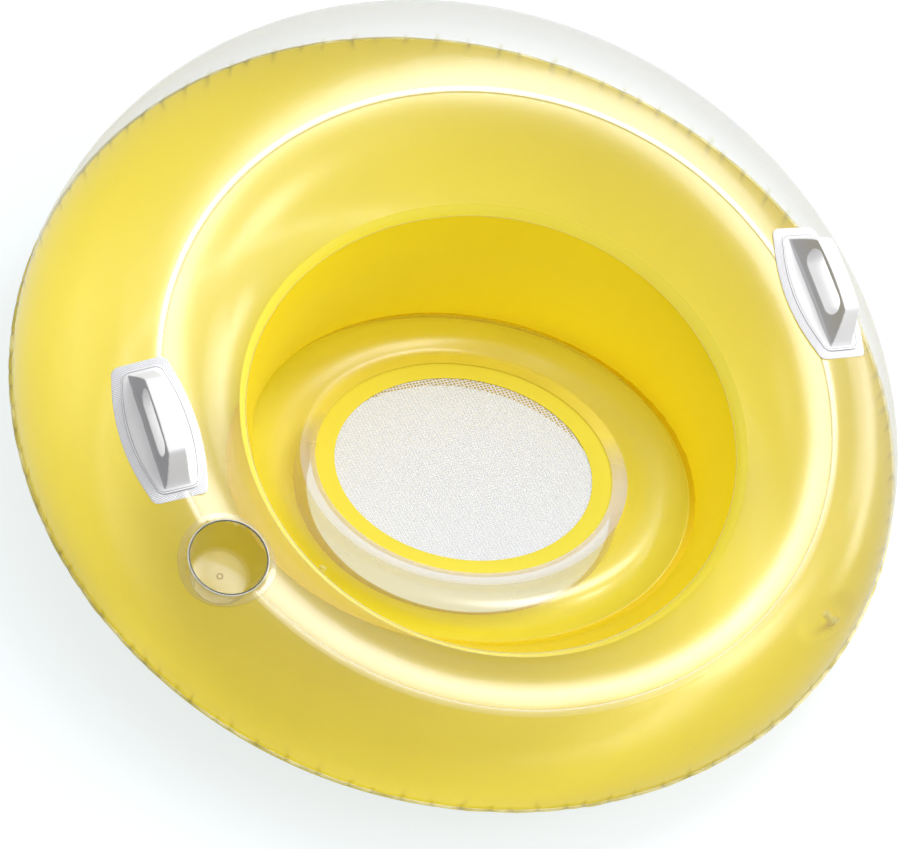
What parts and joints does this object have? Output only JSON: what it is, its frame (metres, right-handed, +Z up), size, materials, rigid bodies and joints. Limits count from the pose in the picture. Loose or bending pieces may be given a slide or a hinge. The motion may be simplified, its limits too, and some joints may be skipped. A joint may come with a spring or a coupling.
{
  "type": "inflatable pool chair",
  "caption": "Round inflatable sit-in pool chair: a ring thick at the back and thin at the front, a sloping seat ring with a net floor, moulded handles and a cup holder.",
  "frame": {"origin": "on the floor under the middle of the ring", "axes": "+Z up, -Y to the thin front of the chair, +Y to its thick back, +X to the sitter's left"},
  "size_m": [1.197, 1.197, 0.3939],
  "materials": {
    "clear_vinyl": "glossy clear PVC sheet, slightly milky",
    "yellow_vinyl": "glossy yellow PVC sheet",
    "white_net": "white woven polyester net",
    "clear_cup": "clear moulded PVC",
    "white_handle": "white moulded PVC, satin",
    "valve_vinyl": "soft translucent white PVC"
  },
  "bodies": {
    "chair": {"outer_top_sheet": "clear_vinyl", "inner_top_sheet": "clear_vinyl", "inner_wall_sheet": "yellow_vinyl", "lower_sheet": "yellow_vinyl", "seat_top_sheet": "clear_vinyl", "seat_wall_sheet": "clear_vinyl", "seat_lower_sheet": "yellow_vinyl", "net_flange": "yellow_vinyl", "seat_net": "white_net", "cup_holder": "clear_cup", "right_handle_patch": "white_handle", "right_handle_grip": "white_handle", "left_handle_patch": "white_handle", "left_handle_grip": "white_handle", "main_valve_base": "valve_vinyl", "seat_valve_base": "valve_vinyl"},
    "main_stem": {"main_valve_stem": "valve_vinyl"},
    "main_plug": {"main_valve_plug": "valve_vinyl"},
    "main_flap": {"main_valve_flap": "valve_vinyl"},
    "seat_stem": {"seat_valve_stem": "valve_vinyl"},
    "seat_plug": {"seat_valve_plug": "valve_vinyl"},
    "seat_flap": {"seat_valve_flap": "valve_vinyl"}
  },
  "joints": [
    {"name": "main_stem_slide", "type": "slide", "parent": "chair", "child": "main_stem", "axis": [0.5877, -0.4819, -0.6499], "range_m": [0, 0.012]},
    {"name": "main_plug_slide", "type": "slide", "parent": "main_stem", "child": "main_plug", "axis": [0.5877, -0.4819, -0.6499], "range_m": [0, 0.012]},
    {"name": "main_flap_hinge", "type": "hinge", "parent": "main_stem", "child": "main_flap", "pos_m": [0.41031, -0.36054, 0.05231], "axis": [-0.6445, -0.7645, -0.0159], "range_deg": [0, 60]},
    {"name": "seat_stem_slide", "type": "slide", "parent": "chair", "child": "seat_stem", "axis": [-0.4124, -0.3167, -0.8542], "range_m": [0, 0.012]},
    {"name": "seat_plug_slide", "type": "slide", "parent": "seat_stem", "child": "seat_plug", "axis": [-0.4124, -0.3167, -0.8542], "range_m": [0, 0.012]},
    {"name": "seat_flap_hinge", "type": "hinge", "parent": "seat_stem", "child": "seat_flap", "pos_m": [-0.22993, -0.1545, 0.07402], "axis": [-0.3857, 0.9102, -0.1512], "range_deg": [0, 60]}
  ]
}
